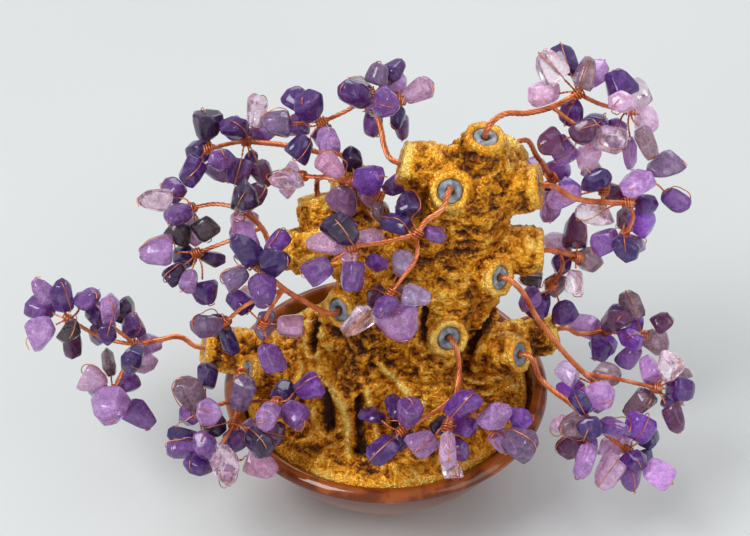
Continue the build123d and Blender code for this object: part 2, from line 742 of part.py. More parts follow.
sprays = []
for name, runs in spray_runs.items():
    wire = []
    for middle, radius, ways in wire_joints(runs):
        ball = Sphere(radius, mode=Mode.PRIVATE)
        wire.append(ball.moved(clear_frame(middle, ways).location))
    for number, run in enumerate(runs):
        radius = stem_radius if number == 0 else branch_radius
        for start, end in zip(run, run[1:]):
            straight = Cylinder(radius, (end - start).length, align=seated, mode=Mode.PRIVATE)
            wire.append(straight.moved(Plane(origin=start, z_dir=end - start).location))
    with BuildPart() as stem:
        add(wire)
    stem.part.label = name + "_stem"
    sprays.append(stem)
    rods = []
    tips = []
    chips = []
    for knot, middle, kind, size_share in spray_stones[name]:
        frame = Plane(origin=knot, z_dir=middle - knot)
        start = knot_radius + twig_start_gap
        half = stone_length * chip_shares[kind][0] * size_share / 2
        stop = (middle - knot).length + half + tip_gap + twig_end_radius
        rod = Cylinder(twig_radius, stop - start, align=seated, mode=Mode.PRIVATE)
        rods.append(rod.moved(frame.offset(start).location))
        tips.append(frame.offset(stop).location)
        chips.append(drilled_chip(kind, size_share).moved(Plane(origin=middle, z_dir=middle - knot).location))
    with BuildPart() as wires:
        add(rods)
        with Locations(tips):
            Sphere(twig_end_radius)
    wires.part.label = name + "_wires"
    sprays.append(wires)
    with BuildPart() as stones:
        add(chips)
    stones.part.label = name + "_stones"
    sprays.append(stones)

if __name__ == "__main__":
    os.makedirs("parts", exist_ok=True)
    for piece in [pot, plaster_bed, trunk_casting, socket_putty, wire_roots] + sprays:
        export_step(piece.part, "parts/" + piece.part.label + ".step")
        print(piece.part.label, len(piece.part.solids()), round(piece.part.volume))
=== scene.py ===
import random
from math import cos, pi, radians, sin, sqrt

import bmesh
import bpy
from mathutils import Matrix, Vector, noise


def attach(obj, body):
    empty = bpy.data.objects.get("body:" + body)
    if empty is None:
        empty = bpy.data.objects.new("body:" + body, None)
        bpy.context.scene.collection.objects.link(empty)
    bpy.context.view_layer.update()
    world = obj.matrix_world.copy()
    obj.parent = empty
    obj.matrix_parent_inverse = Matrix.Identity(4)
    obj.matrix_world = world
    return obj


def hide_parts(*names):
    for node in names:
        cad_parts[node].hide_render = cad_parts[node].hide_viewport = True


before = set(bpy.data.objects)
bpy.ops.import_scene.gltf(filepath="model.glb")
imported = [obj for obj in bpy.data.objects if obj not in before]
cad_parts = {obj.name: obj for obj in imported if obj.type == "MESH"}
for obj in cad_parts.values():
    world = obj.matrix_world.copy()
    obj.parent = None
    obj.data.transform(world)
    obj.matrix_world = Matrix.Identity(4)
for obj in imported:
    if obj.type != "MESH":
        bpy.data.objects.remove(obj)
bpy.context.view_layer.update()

# A gemstone tree in a glazed bowl: the gold trunk, the putty in its sockets, the twisted copper sprays
# and their amethyst chips, dressed over the CAD solids. Metres, the same frame as the CAD.

millimetre = 0.001
scene = bpy.context.scene

# The camera of the photograph.
photo_width = 750
photo_height = 536
focal_pixels = 1705
view_distance = 500.27
view_angle = radians(40)
tree_depth = 100
aim = Vector((-3.332, 0, 80.0))
look = Vector((0, cos(view_angle), -sin(view_angle)))
rise = Vector((0, sin(view_angle), cos(view_angle)))
eye = aim - look * view_distance

# Wire sizes, in millimetres.
straight_exit = 2.2
pivot_drop = 2.4

# The tree's sizes, in millimetres.
root_spread = 62.0
root_depth = 50.0
pot_height = 36.0
trunk_height = 86.0
stub_radius = 5.6
# Where the bark is calm, in millimetres: the edge of the ground, the sockets' bores and their rims.
ground_top = 39.0
ground_radius = 43.5
bore_radius = 4.3
bore_depth = 9.0
rim_margin = 1.0
rim_depth = 2.4
# The putty plugs and the hole round each wire, in millimetres.
plug_radius = 3.38
plug_depth = 7.0
hole_radius = 1.22
hole_depth = 2.3

# The middle of each socket's mouth: pixel across, pixel down and share of the tree's depth.
mouth_pixels_and_shares = {
    "crown_left": (400, 162, 0.01),
    "crown_top": (486, 135, -0.03),
    "crown_front": (450, 191, -0.10),
    "crown_right": (541, 186, -0.03),
    "crown_back": (516, 146, 0.12),
    "right_high": (543, 250, -0.01),
    "right_front": (502, 278, -0.12),
    "right_back": (556, 330, 0.07),
    "right_low": (522, 355, -0.15),
    "front_low": (450, 339, -0.19),
    "limb_top": (318, 195, 0.09),
    "limb_end": (283, 250, -0.01),
    "limb_back": (345, 165, 0.17),
    "left_front": (337, 311, -0.19),
    "far_left": (203, 347, -0.03),
    "left_low": (245, 372, -0.13),
}
# The foot of each stub on the trunk: shares across, back and up, then the stub's and the mouth's size shares.
stub_foot_shares = {
    "crown_left": (0.33, 0.00, 0.90, 1.25, 1.08),
    "crown_top": (0.40, 0.00, 0.86, 1.25, 1.00),
    "crown_front": (0.30, 0.02, 0.82, 1.10, 0.95),
    "crown_right": (0.40, 0.00, 0.84, 1.15, 1.12),
    "crown_back": (0.42, 0.04, 0.84, 1.10, 0.92),
    "right_high": (0.34, 0.00, 0.60, 1.20, 1.12),
    "right_front": (0.30, 0.00, 0.50, 1.15, 0.98),
    "right_back": (0.20, 0.00, 0.05, 1.30, 0.98),
    "right_low": (0.28, 0.00, 0.12, 1.15, 0.92),
    "front_low": (0.18, 0.00, 0.28, 1.20, 1.00),
    "limb_top": (-0.28, 0.02, 0.59, 1.15, 1.05),
    "limb_end": (-0.24, 0.00, 0.60, 1.20, 1.00),
    "limb_back": (-0.14, 0.00, 0.61, 1.10, 0.92),
    "left_front": (-0.04, -0.08, 0.46, 1.15, 0.92),
    "far_left": (-0.30, 0.04, 0.06, 1.25, 1.00),
    "left_low": (-0.32, -0.10, 0.02, 1.15, 0.92),
}
# Each spray's wire, as in the CAD: where a run starts on the main wire, then its pixels and depth shares.
route_pixels_and_shares = {
    "crown_left": [
        (0, (385, 148, 0.05), (381, 129, 0.10), (371, 95, 0.19)),
        (3, (346, 111, 0.18), (322, 122, 0.16)),
        (3, (400, 100, 0.22)),
    ],
    "crown_top": [
        (0, (500, 116, -0.01), (528, 113, 0.03), (552, 107, 0.06), (578, 94, 0.09)),
        (3, (572, 122, 0.04), (590, 133, 0.02)),
        (4, (606, 106, 0.09), (630, 110, 0.08)),
    ],
    "crown_front": [
        (0, (440, 211, -0.15), (426, 221, -0.17), (417, 234, -0.19)),
        (3, (384, 242, -0.21), (352, 247, -0.23)),
        (3, (416, 258, -0.22), (402, 278, -0.25), (391, 293, -0.27)),
    ],
    "crown_right": [
        (0, (574, 198, -0.03), (602, 202, -0.03), (628, 203, -0.03)),
        (2, (604, 190, -0.02)),
        (3, (640, 192, -0.02), (646, 178, -0.01)),
        (3, (633, 217, -0.04), (624, 236, -0.05)),
    ],
    "crown_back": [
        (0, (538, 158, 0.18), (552, 178, 0.19)),
    ],
    "right_high": [
        (0, (560, 252, 0.01), (577, 257, 0.03)),
        (1, (562, 268, 0.04), (552, 284, 0.06)),
    ],
    "right_front": [
        (0, (540, 322, -0.16), (567, 356, -0.19), (584, 373, -0.20), (600, 386, -0.20)),
        (3, (622, 380, -0.18), (656, 388, -0.17)),
    ],
    "right_back": [
        (0, (580, 334, 0.11), (606, 331, 0.13)),
        (2, (624, 334, 0.13), (643, 336, 0.12)),
    ],
    "right_low": [
        (0, (541, 379, -0.20), (572, 405, -0.26), (593, 424, -0.30)),
        (3, (610, 438, -0.31), (627, 450, -0.33)),
    ],
    "front_low": [
        (0, (459, 366, -0.25), (456, 396, -0.33), (447, 426, -0.41)),
        (2, (474, 414, -0.37), (490, 430, -0.40)),
        (2, (428, 416, -0.38), (402, 431, -0.42)),
    ],
    "limb_top": [
        (0, (322, 177, 0.06), (340, 180, 0.02), (355, 182, 0.00)),
        (3, (368, 190, -0.01), (379, 196, -0.02)),
        (1, (302, 176, 0.09)),
    ],
    "limb_end": [
        (0, (262, 228, 0.02), (242, 209, 0.04)),
        (2, (216, 204, 0.07), (191, 208, 0.09)),
        (1, (226, 242, 0.02), (197, 253, 0.01)),
    ],
    "limb_back": [
        (0, (318, 152, 0.22), (290, 146, 0.24), (246, 141, 0.26)),
        (3, (228, 144, 0.26), (209, 149, 0.25)),
    ],
    "left_front": [
        (0, (302, 300, -0.21), (284, 289, -0.22), (258, 266, -0.22)),
        (2, (272, 306, -0.24), (263, 324, -0.25)),
        (2, (248, 304, -0.22), (225, 322, -0.22)),
    ],
    "far_left": [
        (0, (180, 337, -0.02), (159, 340, -0.03), (136, 345, -0.04)),
        (3, (122, 334, -0.03), (110, 325, -0.02)),
        (3, (104, 338, -0.01), (68, 319, 0.00)),
        (3, (124, 368, -0.09), (114, 391, -0.13)),
    ],
    "left_low": [
        (0, (247, 388, -0.20), (242, 402, -0.27), (234, 423, -0.35)),
        (2, (262, 401, -0.30), (277, 402, -0.33)),
        (2, (221, 404, -0.29), (200, 414, -0.32)),
        (3, (225, 439, -0.38), (215, 453, -0.41)),
    ],
}
# The roots and hollows that show on the trunk: half width in pixels, height in millimetres, and pixels along it.
root_ridges = [
    (5.0, 1.5, [(315, 372), (340, 395), (347, 421), (349, 458)]),
    (4.5, 1.4, [(377, 361), (409, 391), (411, 402)]),
    (4.0, 1.2, [(425, 398), (418, 420), (412, 440)]),
    (4.5, 1.3, [(362, 380), (372, 410), (378, 440)]),
    (4.0, 1.0, [(455, 372), (480, 382), (505, 372)]),
    (3.5, 0.8, [(462, 385), (486, 394), (516, 388)]),
    (4.0, 1.0, [(300, 366), (292, 392), (300, 420)]),
    (7.0, -2.6, [(327, 392), (330, 426)]),
    (4.5, -2.2, [(317, 316), (314, 350)]),
    (4.0, -2.0, [(425, 308), (425, 340)]),
    (5.0, -1.8, [(358, 400), (362, 450)]),
    (5.0, -1.6, [(394, 405), (396, 440)]),
    (5.0, -1.5, [(500, 300), (470, 350)]),
]

# The tone of each chip that the photograph shows, given by name, with the pixel in its middle.
chip_tones = {
    "crown_left": [
        (334, 86, "smoke"), (353, 93, "deep"), (393, 84, "lilac"), (419, 91, "pale"), (387, 104, "purple"),
        (397, 118, "indigo"), (346, 113, "pink"), (373, 125, "purple"), (310, 107, "deep"),
        (301, 148, "indigo"), (293, 127, "purple"), (275, 123, "grey"),
    ],
    "limb_back": [
        (207, 127, "ink"), (256, 111, "clear"), (256, 119, "smoke"), (236, 129, "deep"),
        (200, 152, "indigo"), (220, 158, "purple"), (193, 170, "deep"), (238, 172, "purple"),
        (263, 174, "plum"), (189, 190, "grey"),
    ],
    "limb_top": [
        (330, 164, "pink"), (352, 158, "ink"), (371, 178, "violet"), (344, 199, "mauve"),
        (365, 193, "pale"), (385, 203, "smoke"), (285, 180, "clear"),
    ],
    "crown_front": [
        (395, 225, "indigo"), (342, 231, "ink"), (371, 237, "pale"), (324, 244, "pale"), (350, 258, "pale"),
        (318, 270, "purple"), (352, 276, "purple"), (287, 221, "lilac"), (402, 264, "frost"),
        (416, 297, "frost"), (384, 308, "purple"), (400, 324, "lilac"), (358, 322, "clear"),
        (379, 347, "deep"),
    ],
    "limb_end": [
        (156, 201, "clear"), (177, 215, "purple"), (179, 233, "moss"), (205, 229, "moss"),
        (156, 252, "lilac"), (175, 274, "ink"), (189, 280, "lilac"), (205, 293, "deep"),
        (212, 258, "indigo"), (244, 199, "ink"), (244, 238, "lilac"),
    ],
    "left_front": [
        (277, 260, "indigo"), (236, 278, "grey"), (263, 291, "purple"), (265, 327, "grey"),
        (290, 325, "pink"), (271, 358, "purple"), (206, 325, "grey"), (229, 340, "indigo"),
    ],
    "far_left": [
        (44, 291, "lilac"), (63, 295, "deep"), (88, 299, "purple"), (110, 309, "lilac"), (126, 309, "ink"),
        (41, 309, "purple"), (41, 331, "lilac"), (47, 348, "smoke"), (69, 331, "moss"), (86, 348, "purple"),
        (108, 333, "deep"), (133, 358, "indigo"), (151, 344, "lilac"), (94, 380, "pale"),
        (126, 384, "purple"), (110, 409, "lilac"), (139, 415, "purple"),
    ],
    "left_low": [
        (190, 393, "smoke"), (208, 376, "indigo"), (206, 413, "lilac"), (243, 393, "grey"),
        (273, 386, "indigo"), (308, 386, "violet"), (294, 413, "purple"), (269, 415, "lilac"),
        (271, 431, "plum"), (212, 429, "ink"), (184, 450, "purple"), (198, 464, "deep"),
        (204, 444, "purple"), (226, 464, "clear"), (257, 442, "ink"), (261, 466, "pink"),
        (235, 448, "purple"),
    ],
    "front_low": [
        (464, 405, "violet"), (409, 414, "purple"), (439, 425, "ink"), (464, 425, "violet"),
        (496, 416, "lilac"), (521, 418, "violet"), (521, 444, "grey"), (402, 437, "indigo"),
        (381, 451, "deep"), (423, 444, "lilac"), (448, 451, "pale"), (471, 451, "lilac"),
        (450, 464, "clear"),
    ],
    "crown_top": [
        (551, 66, "clear"), (586, 72, "smoke"), (619, 84, "deep"), (637, 91, "clear"), (545, 93, "pale"),
        (531, 111, "pale"), (549, 144, "plum"), (584, 131, "plum"), (623, 103, "pale"), (645, 117, "pale"),
        (647, 142, "smoke"), (611, 140, "clear"), (564, 152, "purple"),
    ],
    "crown_right": [
        (615, 170, "purple"), (596, 180, "indigo"), (664, 166, "grey"), (635, 186, "lilac"),
        (592, 213, "clear"), (551, 207, "lilac"), (653, 199, "deep"), (643, 221, "violet"),
        (625, 246, "indigo"), (604, 242, "purple"),
    ],
    "crown_back": [
        (551, 207, "lilac"), (592, 213, "pale"),
    ],
    "right_high": [
        (576, 229, "plum"), (560, 264, "deep"), (588, 260, "smoke"), (574, 282, "clear"),
        (555, 286, "smoke"), (531, 280, "moss"), (529, 301, "purple"),
    ],
    "right_front": [
        (584, 326, "lilac"), (600, 396, "lilac"), (607, 373, "smoke"), (567, 373, "frost"),
        (632, 338, "violet"), (654, 341, "smoke"), (650, 370, "lilac"), (670, 368, "clear"),
        (681, 390, "deep"), (674, 419, "plum"),
    ],
    "right_back": [
        (631, 305, "smoke"), (615, 322, "plum"), (584, 326, "lilac"), (632, 338, "violet"),
        (654, 341, "smoke"), (650, 370, "lilac"), (670, 368, "clear"), (681, 390, "deep"),
    ],
    "right_low": [
        (579, 401, "indigo"), (572, 427, "smoke"), (590, 427, "indigo"), (572, 445, "plum"),
        (584, 463, "lilac"), (615, 429, "purple"), (639, 427, "violet"), (639, 404, "pink"),
        (614, 445, "pale"), (636, 461, "deep"), (659, 473, "lilac"), (610, 472, "pale"),
        (631, 477, "purple"), (591, 485, "indigo"),
    ],
}

# The chip colours: red, green, blue and how clear the stone is.
stone_colours = {
    "ink": (0.012, 0.008, 0.026, 0.05),
    "indigo": (0.034, 0.022, 0.120, 0.20),
    "deep": (0.075, 0.026, 0.190, 0.30),
    "purple": (0.210, 0.105, 0.370, 0.40),
    "violet": (0.220, 0.080, 0.500, 0.42),
    "plum": (0.100, 0.030, 0.080, 0.25),
    "mauve": (0.330, 0.190, 0.330, 0.35),
    "lilac": (0.510, 0.360, 0.680, 0.45),
    "pale": (0.740, 0.620, 0.790, 0.50),
    "pink": (0.660, 0.440, 0.590, 0.42),
    "frost": (0.560, 0.550, 0.760, 0.45),
    "clear": (0.860, 0.820, 0.860, 0.80),
    "smoke": (0.270, 0.215, 0.225, 0.50),
    "grey": (0.230, 0.185, 0.310, 0.40),
    "moss": (0.060, 0.062, 0.045, 0.20),
}
# The most that a chip is broader than its solid, in most sprays and in those that hang close to a neighbour.
full_chips = 1.52
slim_chips = 1.28
tight_sprays = ("crown_front", "left_front")
# What each chip's colour is raised by, and how many times brighter a spray's chips are.
deepest_tone = (0.017, 0.008, 0.028)
plain_lift = 1.05
pale_lift = 1.4
pale_sprays = ("crown_top", "crown_right", "crown_back", "right_high", "right_front", "right_back", "right_low")
# The tones that hidden chips have by chance.
hidden_tones = ["purple", "deep", "lilac", "indigo", "purple", "grey", "pale", "plum", "violet", "smoke"]


def sight(place):
    """Return the point, in millimetres, that a pixel shows at a share of the tree's depth."""
    ray = sight_ray(place[0], place[1])
    return eye + ray * ((place[2] * tree_depth - eye.y) / ray.y)


def sight_ray(across, down):
    """Return the line of sight through a pixel, one unit deep."""
    side = (across - photo_width / 2) / focal_pixels
    drop = (down - photo_height / 2) / focal_pixels
    return look + Vector((side, 0, 0)) - rise * drop


def pixel_of(point):
    """Return the pixel that shows a point given in metres."""
    away = point / millimetre - eye
    depth = away.dot(look)
    return (
        photo_width / 2 + focal_pixels * away.x / depth,
        photo_height / 2 - focal_pixels * away.dot(rise) / depth,
    )


def socket_of(name):
    """Return the middle of a socket's mouth and the direction out of it, in millimetres."""
    mouth = sight(mouth_pixels_and_shares[name])
    across, back, up = stub_foot_shares[name][:3]
    foot = Vector((across * root_spread, back * root_depth, pot_height + up * trunk_height))
    return mouth, (mouth - foot).normalized()


def new_object(name, mesh):
    """Link a new object that holds a mesh or a curve."""
    made = bpy.data.objects.new(name, mesh)
    scene.collection.objects.link(made)
    return made


def merged_node(node):
    """Return a CAD node's mesh for editing, with the points that lie together merged."""
    build = bmesh.new()
    build.from_mesh(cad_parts[node].data)
    bmesh.ops.remove_doubles(build, verts=build.verts, dist=0.002 * millimetre)
    return build


def mesh_of(build, name):
    """Return an edited mesh as a new mesh."""
    mesh = bpy.data.meshes.new(name)
    build.to_mesh(mesh)
    build.free()
    return mesh


def merged_copy(name, node):
    """Return an object whose mesh is a merged copy of a CAD node."""
    mesh = mesh_of(merged_node(node), name)
    mesh.materials.clear()
    return new_object(name, mesh)


def solids_of(node):
    """Return the points of each separate solid of a CAD node."""
    build = merged_node(node)
    seen = set()
    solids = []
    for first in build.verts:
        if first in seen:
            continue
        seen.add(first)
        waiting = [first]
        points = []
        while waiting:
            vert = waiting.pop()
            points.append(vert.co.copy())
            for edge in vert.link_edges:
                other = edge.other_vert(vert)
                if other not in seen:
                    seen.add(other)
                    waiting.append(other)
        solids.append(points)
    build.free()
    return solids


def plain_mesh(source, name):
    """Bake an object's modifiers into a plain mesh object, in place of the first."""
    graph = bpy.context.evaluated_depsgraph_get()
    mesh = bpy.data.meshes.new_from_object(source.evaluated_get(graph))
    bpy.data.objects.remove(source)
    return new_object(name, mesh)


# Node trees.


def new_tree(name, sizes):
    """Return a modifier's node tree with a named input for each size, and its first and last nodes."""
    tree = bpy.data.node_groups.new(name, "GeometryNodeTree")
    tree.interface.new_socket("Geometry", in_out="INPUT", socket_type="NodeSocketGeometry")
    for label, value in sizes.items():
        kind = "NodeSocketInt" if isinstance(value, int) else "NodeSocketFloat"
        tree.interface.new_socket(label, in_out="INPUT", socket_type=kind).default_value = value
    tree.interface.new_socket("Finish", in_out="INPUT", socket_type="NodeSocketMaterial")
    tree.interface.new_socket("Geometry", in_out="OUTPUT", socket_type="NodeSocketGeometry")
    return tree, tree.nodes.new("NodeGroupInput"), tree.nodes.new("NodeGroupOutput")


def shaped(source, tree, sizes, finish):
    """Run a tree on an object and return its result as a plain mesh object of the same name."""
    name = source.name
    modifier = source.modifiers.new("Shape", "NODES")
    modifier.node_group = tree
    for item in tree.interface.items_tree:
        if item.in_out == "INPUT" and item.name in sizes:
            modifier[item.identifier] = sizes[item.name]
        if item.in_out == "INPUT" and item.name == "Finish":
            modifier[item.identifier] = finish
    source.name = name + "_source"
    return plain_mesh(source, name)


class Bench:
    """Adds nodes to a tree and joins them."""

    def __init__(self, tree):
        self.tree = tree

    def add(self, kind, settings=None, **links):
        """Add a node, with its settings, and its inputs by name: a value, or a socket to join."""
        node = self.tree.nodes.new(kind)
        for key, value in (settings or {}).items():
            setattr(node, key, value)
        for key, value in links.items():
            self.give(node, key, value)
        return node

    def give(self, node, key, value):
        """Set one input of a node, found by name or, for i0, i1 and so on, by its place."""
        if key[0] == "i" and key[1:].isdigit():
            socket = node.inputs[int(key[1:])]
        else:
            socket = node.inputs[key.replace("_", " ")]
        if isinstance(value, bpy.types.NodeSocket):
            self.tree.links.new(value, socket)
        else:
            socket.default_value = value

    def maths(self, operation, first, second=0.0):
        """Return the result of a sum on two numbers."""
        return self.add("ShaderNodeMath", {"operation": operation}, i0=first, i1=second).outputs[0]

    def noise(self, place, scale, detail, roughness, distortion):
        """Return a noise at a place, by its scale in turns to the metre."""
        node = self.add("ShaderNodeTexNoise", Vector=place, Scale=scale, Detail=detail, Roughness=roughness)
        self.give(node, "Distortion", distortion)
        return node.outputs[0]

    def swing(self, noise_value, width):
        """Return a noise, which lies about a half, as a swing of some width about nothing."""
        return self.maths("MULTIPLY", self.maths("SUBTRACT", noise_value, 0.5), width)

    def creased(self, noise_value, steepness, top, bottom):
        """Return a noise folded into creases, with a highest and a lowest level."""
        fold = self.maths("ABSOLUTE", self.maths("SUBTRACT", noise_value, 0.5))
        fold = self.maths("ADD", self.maths("MULTIPLY", fold, -steepness), top)
        return self.maths("MAXIMUM", fold, bottom)


def close_tree(bench, mesh, finish, end):
    """End a tree: shade its mesh smooth, give it its finish and hand it out."""
    smooth = bench.add("GeometryNodeSetShadeSmooth", Geometry=mesh)
    whole = bench.add("GeometryNodeRealizeInstances", Geometry=smooth.outputs["Geometry"])
    last = bench.add("GeometryNodeSetMaterial", Geometry=whole.outputs["Geometry"], Material=finish)
    bench.give(end, "Geometry", last.outputs["Geometry"])


def twist_tree():
    """Return the tree that lays strands round a line: a twisted wire."""
    sizes = {
        "Strands": 2,
        "Strand radius": 0.0002,
        "Coil radius": 0.0002,
        "Lay": 0.002,
        "Step": 0.0005,
        "Sides": 6,
    }
    tree, start, end = new_tree("twisted_wire", sizes)
    bench = Bench(tree)
    sockets = start.outputs
    line = bench.add(
        "GeometryNodeResampleCurve", {"mode": "LENGTH"}, Curve=sockets["Geometry"], Length=sockets["Step"]
    )
    copies = bench.add(
        "GeometryNodeDuplicateElements",
        {"domain": "SPLINE"},
        Geometry=line.outputs["Curve"],
        Amount=sockets["Strands"],
    )
    along = bench.add("GeometryNodeSplineParameter").outputs["Length"]
    turns = bench.maths("DIVIDE", along, sockets["Lay"])
    share = bench.maths("DIVIDE", copies.outputs["Duplicate Index"], sockets["Strands"])
    angle = bench.maths("MULTIPLY", bench.maths("ADD", turns, share), 2 * pi)
    normal = bench.add("GeometryNodeInputNormal").outputs["Normal"]
    reach = bench.add(
        "ShaderNodeVectorMath", {"operation": "SCALE"}, Vector=normal, Scale=sockets["Coil radius"]
    )
    turned = bench.add(
        "ShaderNodeVectorRotate",
        {"rotation_type": "AXIS_ANGLE"},
        Vector=reach.outputs["Vector"],
        Axis=bench.add("GeometryNodeInputTangent").outputs["Tangent"],
        Angle=angle,
    )
    laid = bench.add("GeometryNodeSetPosition", Geometry=copies.outputs["Geometry"], Offset=turned.outputs["Vector"])
    ring = bench.add("GeometryNodeCurvePrimitiveCircle", Resolution=sockets["Sides"], Radius=sockets["Strand radius"])
    swept = bench.add(
        "GeometryNodeCurveToMesh",
        Curve=laid.outputs["Geometry"],
        Profile_Curve=ring.outputs["Curve"],
        Fill_Caps=True,
    )
    close_tree(bench, swept.outputs["Mesh"], sockets["Finish"], end)
    return tree


def bark_tree():
    """Return the tree that works furrows and hammered dents into a surface and keeps their depth as a level for
    painted shade and highlights.
    """
    sizes = {
        "Furrow depth": 0.0021,
        "Furrows per metre": 105.0,
        "Wrinkle depth": 0.0010,
        "Wrinkles per metre": 150.0,
        "Dent depth": 0.0007,
        "Dents per metre": 480.0,
        "Stretch": 0.4,
    }
    tree, start, end = new_tree("worked_bark", sizes)
    bench = Bench(tree)
    sockets = start.outputs
    place = bench.add("GeometryNodeInputPosition").outputs["Position"]
    stretch = bench.add("ShaderNodeCombineXYZ", X=1.0, Y=1.0, Z=sockets["Stretch"])
    long_place = bench.add("ShaderNodeVectorMath", {"operation": "MULTIPLY"}, i0=place, i1=stretch.outputs["Vector"])
    furrows = bench.noise(long_place.outputs["Vector"], sockets["Furrows per metre"], 3.0, 0.55, 1.2)
    dents = bench.noise(place, sockets["Dents per metre"], 3.0, 0.6, 0.8)
    cross_place = bench.add("ShaderNodeVectorMath", {"operation": "MULTIPLY"}, i0=place, i1=(0.5, 0.5, 1.25))
    wrinkles = bench.noise(cross_place.outputs["Vector"], sockets["Wrinkles per metre"], 2.0, 0.5, 2.2)
    ridge = bench.creased(furrows, 4.0, 0.62, -0.9)
    fold = bench.creased(wrinkles, 5.0, 0.55, -0.8)
    dent = bench.swing(dents, 3.0)
    calm = bench.add("GeometryNodeInputNamedAttribute", {"data_type": "FLOAT"}, Name="work").outputs["Attribute"]
    deep = bench.maths("MULTIPLY", ridge, sockets["Furrow depth"])
    fine = bench.maths("MULTIPLY", dent, sockets["Dent depth"])
    folds = bench.maths("MULTIPLY", fold, sockets["Wrinkle depth"])
    rise_by = bench.maths("MULTIPLY", bench.maths("ADD", bench.maths("ADD", deep, fine), folds), calm)
    carved = bench.add("GeometryNodeInputNamedAttribute", {"data_type": "FLOAT"}, Name="carved").outputs["Attribute"]
    rise_by = bench.maths("ADD", rise_by, carved)
    normal = bench.add("GeometryNodeInputNormal").outputs["Normal"]
    push = bench.add("ShaderNodeVectorMath", {"operation": "SCALE"}, Vector=normal, Scale=rise_by)
    # The relief level is painted light for the gold: low in furrows and sunk hollows for painted shade, high on
    # ridges, raised roots and calm rims for painted highlights.
    relief = bench.maths("ADD", bench.maths("MULTIPLY", ridge, 0.36), bench.maths("MULTIPLY", dent, 0.26))
    relief = bench.maths("ADD", relief, bench.maths("MULTIPLY", fold, 0.36))
    relief = bench.maths("MULTIPLY", bench.maths("SUBTRACT", relief, 0.42), calm)
    relief = bench.maths("ADD", bench.maths("ADD", relief, 0.85), bench.maths("MULTIPLY", carved, 260.0))
    stored = bench.add(
        "GeometryNodeStoreNamedAttribute",
        {"data_type": "FLOAT", "domain": "POINT"},
        Geometry=sockets["Geometry"],
        Name="relief",
        Value=relief,
    )
    pushed = bench.add("GeometryNodeSetPosition", Geometry=stored.outputs["Geometry"], Offset=push.outputs["Vector"])
    close_tree(bench, pushed.outputs["Geometry"], sockets["Finish"], end)
    return tree


# Finishes.


def new_finish(name, base, metallic, roughness):
    """Return a material, its bench and its surface node."""
    finish = bpy.data.materials.new(name)
    finish.use_nodes = True
    bench = Bench(finish.node_tree)
    surface = finish.node_tree.nodes["Principled BSDF"]
    bench.give(surface, "Base Color", (*base, 1))
    bench.give(surface, "Metallic", metallic)
    bench.give(surface, "Roughness", roughness)
    return finish, bench, surface


def grain(bench, scale, detail=3.0, distortion=0.0):
    """Return a noise on the object's own coordinates, by its scale in turns to the metre."""
    place = bench.add("ShaderNodeTexCoord").outputs["Object"]
    return bench.add("ShaderNodeTexNoise", Vector=place, Scale=scale, Detail=detail, Distortion=distortion).outputs[0]


def ramp(bench, value, stops):
    """Return a colour that runs through stops of (place, colour) as a value rises."""
    node = bench.add("ShaderNodeValToRGB", i0=value)
    line = node.color_ramp
    while len(line.elements) < len(stops):
        line.elements.new(0.5)
    for element, (place, colour) in zip(line.elements, stops):
        element.position = place
        element.color = (*colour, 1)
    return node.outputs["Color"]


def bump(bench, surface, height, strength, distance):
    """Give a surface small relief from a height."""
    relief = bench.add("ShaderNodeBump", Strength=strength, Distance=distance, Height=height)
    bench.give(surface, "Normal", relief.outputs["Normal"])


def gold_paint():
    """Gold paint over brown, coloured by the relief: painted shade in the furrows and hollows, painted highlights on
    ridges and rims.
    """
    finish, bench, surface = new_finish("gold_paint", (0.5, 0.27, 0.03), 0.62, 0.4)
    relief = bench.add("ShaderNodeAttribute", {"attribute_name": "relief"}).outputs["Fac"]
    fine = grain(bench, 1300.0, 4.0)
    patches = grain(bench, 70.0, 2.0)
    # worn is the relief level with random patches. It sets painted shade in the furrows and hollows and painted
    # highlights on the ridges, roots and rims.
    worn = bench.maths("ADD", relief, bench.swing(fine, 0.8))
    worn = bench.maths("ADD", worn, bench.swing(patches, 0.6))
    worn = bench.maths("SUBTRACT", worn, 0.04)
    colour = ramp(
        bench,
        worn,
        [
            (0.26, (0.036, 0.009, 0.001)),
            (0.42, (0.170, 0.046, 0.002)),
            (0.57, (0.540, 0.185, 0.003)),
            (0.72, (0.950, 0.400, 0.010)),
            (0.88, (1.000, 0.700, 0.160)),
        ],
    )
    bench.give(surface, "Base Color", colour)
    rough = bench.maths("SUBTRACT", 0.52, bench.maths("MULTIPLY", worn, 0.34))
    bench.give(surface, "Roughness", rough)
    bump(bench, surface, fine, 0.9, 0.0007)
    return finish


def copper_wire():
    """Bright copper with darker, duller stretches."""
    finish, bench, surface = new_finish("copper_wire", (0.7, 0.2, 0.06), 0.8, 0.3)
    patches = grain(bench, 260.0, 3.0)
    colour = ramp(
        bench, patches, [(0.3, (0.46, 0.095, 0.028)), (0.52, (0.80, 0.25, 0.095)), (0.75, (0.95, 0.44, 0.22))]
    )
    bench.give(surface, "Base Color", colour)
    rough = bench.maths("ADD", 0.2, bench.maths("MULTIPLY", patches, 0.25))
    bench.give(surface, "Roughness", rough)
    bump(bench, surface, grain(bench, 2600.0, 2.0), 0.12, 0.0001)
    return finish


